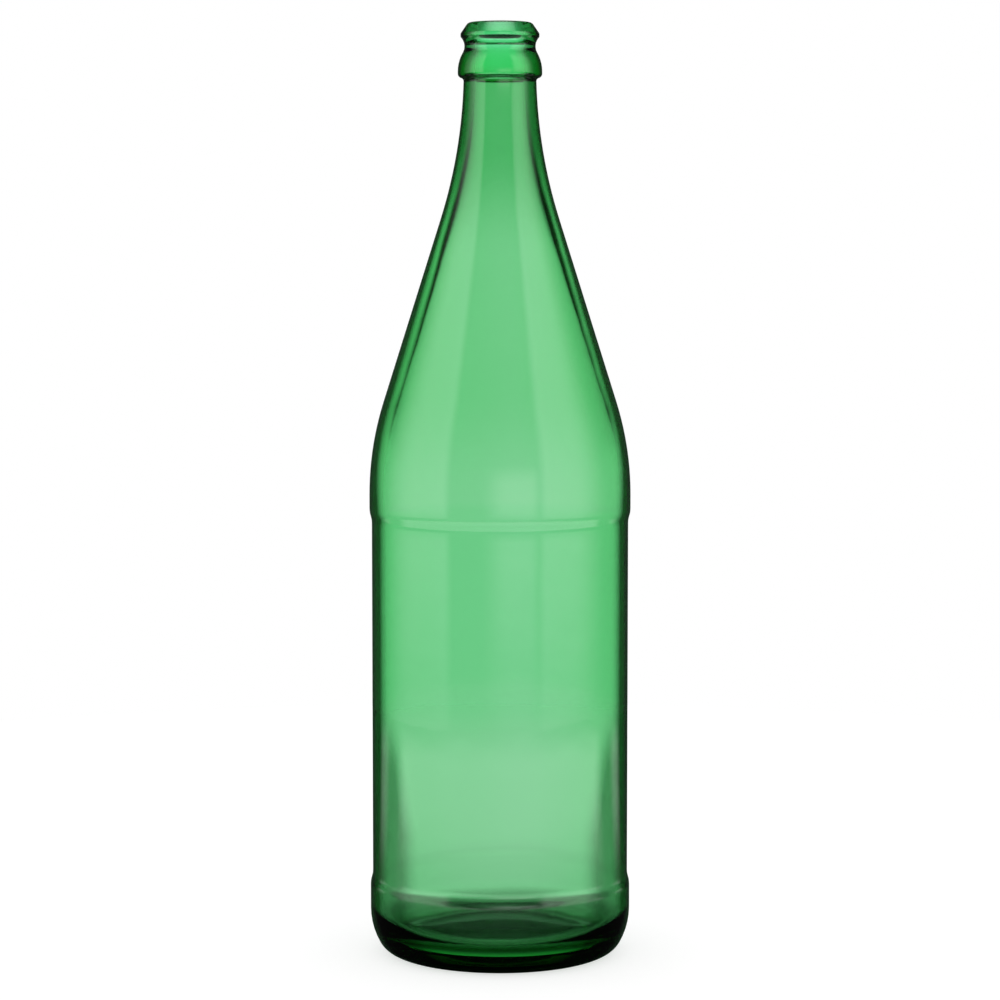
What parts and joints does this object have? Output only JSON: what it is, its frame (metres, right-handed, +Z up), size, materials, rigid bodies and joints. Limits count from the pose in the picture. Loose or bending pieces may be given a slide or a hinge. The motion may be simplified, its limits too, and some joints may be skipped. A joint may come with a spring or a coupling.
{
  "type": "soda bottle",
  "caption": "Tall green glass soda bottle with a crown-cap mouth, flared neck, sloping shoulder, recessed label panel between two contact bands, and a rounded heel.",
  "frame": {"origin": "centre of the bearing ring, on the surface that the bottle stands on", "axes": "+Z up along the bottle's axis, towards the mouth; the bottle is round about Z"},
  "size_m": [0.089, 0.089, 0.317],
  "materials": {
    "green_glass": "clear emerald-green container glass, fire-polished"
  },
  "bodies": {
    "root": {"crown_finish": "green_glass", "neck": "green_glass", "shoulder": "green_glass", "label_panel": "green_glass", "heel": "green_glass", "base": "green_glass"}
  },
  "joints": []
}
